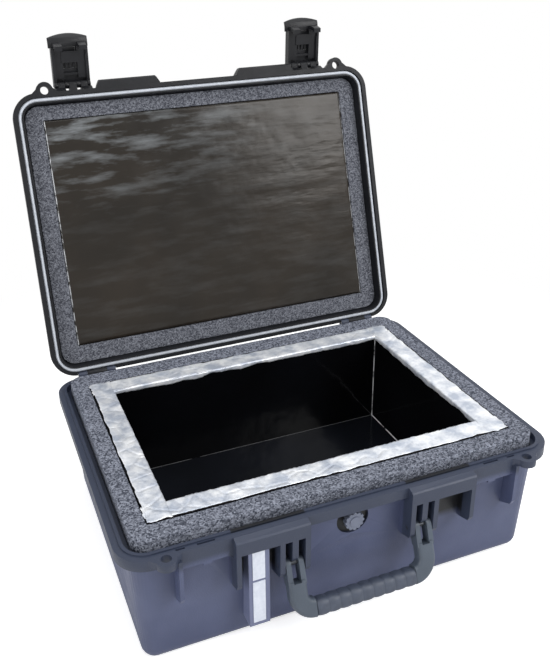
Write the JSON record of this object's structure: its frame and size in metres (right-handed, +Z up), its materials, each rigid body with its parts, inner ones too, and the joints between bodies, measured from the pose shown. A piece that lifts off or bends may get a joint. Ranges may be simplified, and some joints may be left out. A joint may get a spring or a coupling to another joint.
{
  "type": "specimen transport box",
  "caption": "Hard insulated carrying case with an open hinged lid, flip-up latches, a folding front handle, grey foam and vacuum panels round a black cavity, foil tape at its mouth.",
  "frame": {"origin": "centre of the tub's flat underside", "axes": "+X to the right, +Y to the back where the hinge is, +Z up"},
  "size_m": [0.488, 0.5297, 0.5588],
  "materials": {
    "case_plastic": "moulded polypropylene, fine texture",
    "lid_plastic": "moulded polypropylene, fine texture",
    "foam": "open-cell foam, rough",
    "lid_foam": "open-cell foam, rough",
    "black_film": "glossy black barrier film",
    "metallised_film": "glossy dark metallised barrier film, wrinkled",
    "foil": "creased foil tape",
    "valve_plastic": "moulded plastic",
    "seal_rubber": "smooth rubber",
    "membrane": "breathable membrane",
    "card": "blank card",
    "handle_plastic": "moulded plastic",
    "grip_rubber": "soft ribbed grip",
    "pin_steel": "plain steel pin",
    "lid_seal": "pale round seal",
    "latch_plastic": "moulded plastic",
    "spring_steel": "leaf spring"
  },
  "bodies": {
    "case": {"tub": "case_plastic", "tub_foam": "foam", "floor_panel": "black_film", "front_panel": "black_film", "back_panel": "black_film", "left_panel": "black_film", "right_panel": "black_film", "front_tape": "foil", "back_tape": "foil", "left_tape": "foil", "right_tape": "foil", "valve_body": "valve_plastic", "valve_seal": "seal_rubber", "valve_nut": "valve_plastic", "valve_membrane": "membrane", "label_plate": "case_plastic", "upper_label_card": "card", "lower_label_card": "card", "handle_pins": "pin_steel", "hinge_pins": "pin_steel"},
    "valve_knob": {"valve_knob": "valve_plastic"},
    "handle": {"handle_frame": "handle_plastic", "handle_grip": "grip_rubber"},
    "lid": {"lid_shell": "lid_plastic", "lid_seal": "lid_seal", "lid_foam": "lid_foam", "lid_panel": "metallised_film", "left_latch_pin": "pin_steel", "right_latch_pin": "pin_steel"},
    "left_latch": {"left_latch_body": "latch_plastic", "left_latch_spring": "spring_steel"},
    "left_button": {"left_latch_button": "latch_plastic"},
    "right_latch": {"right_latch_body": "latch_plastic", "right_latch_spring": "spring_steel"},
    "right_button": {"right_latch_button": "latch_plastic"}
  },
  "joints": [
    {"name": "lid_hinge", "type": "hinge", "parent": "case", "child": "lid", "pos_m": [0, 0.1795, 0.1483], "axis": [1, 0, 0], "range_deg": [0, 106.7]},
    {"name": "handle_hinge", "type": "hinge", "parent": "case", "child": "handle", "pos_m": [0, -0.181, 0.095], "axis": [-1, 0, 0], "range_deg": [0, 110]},
    {"name": "valve_knob_turn", "type": "hinge", "parent": "case", "child": "valve_knob", "pos_m": [0, -0.1645, 0.115], "axis": [0, -1, 0], "range_deg": [0, 180]},
    {"name": "left_latch_hinge", "type": "hinge", "parent": "lid", "child": "left_latch", "pos_m": [-0.162, 0.30646, 0.49598], "axis": [1, 0, 0], "range_deg": [0, 70]},
    {"name": "left_button_press", "type": "slide", "parent": "left_latch", "child": "left_button", "axis": [0, -0.9983, -0.0576], "range_m": [0, 0.0025], "stiffness_N_per_m": 400, "springref_m": -0.001},
    {"name": "right_latch_hinge", "type": "hinge", "parent": "lid", "child": "right_latch", "pos_m": [0.162, 0.30646, 0.49598], "axis": [1, 0, 0], "range_deg": [0, 70]},
    {"name": "right_button_press", "type": "slide", "parent": "right_latch", "child": "right_button", "axis": [0, -0.9983, -0.0576], "range_m": [0, 0.0025], "stiffness_N_per_m": 400, "springref_m": -0.001}
  ]
}
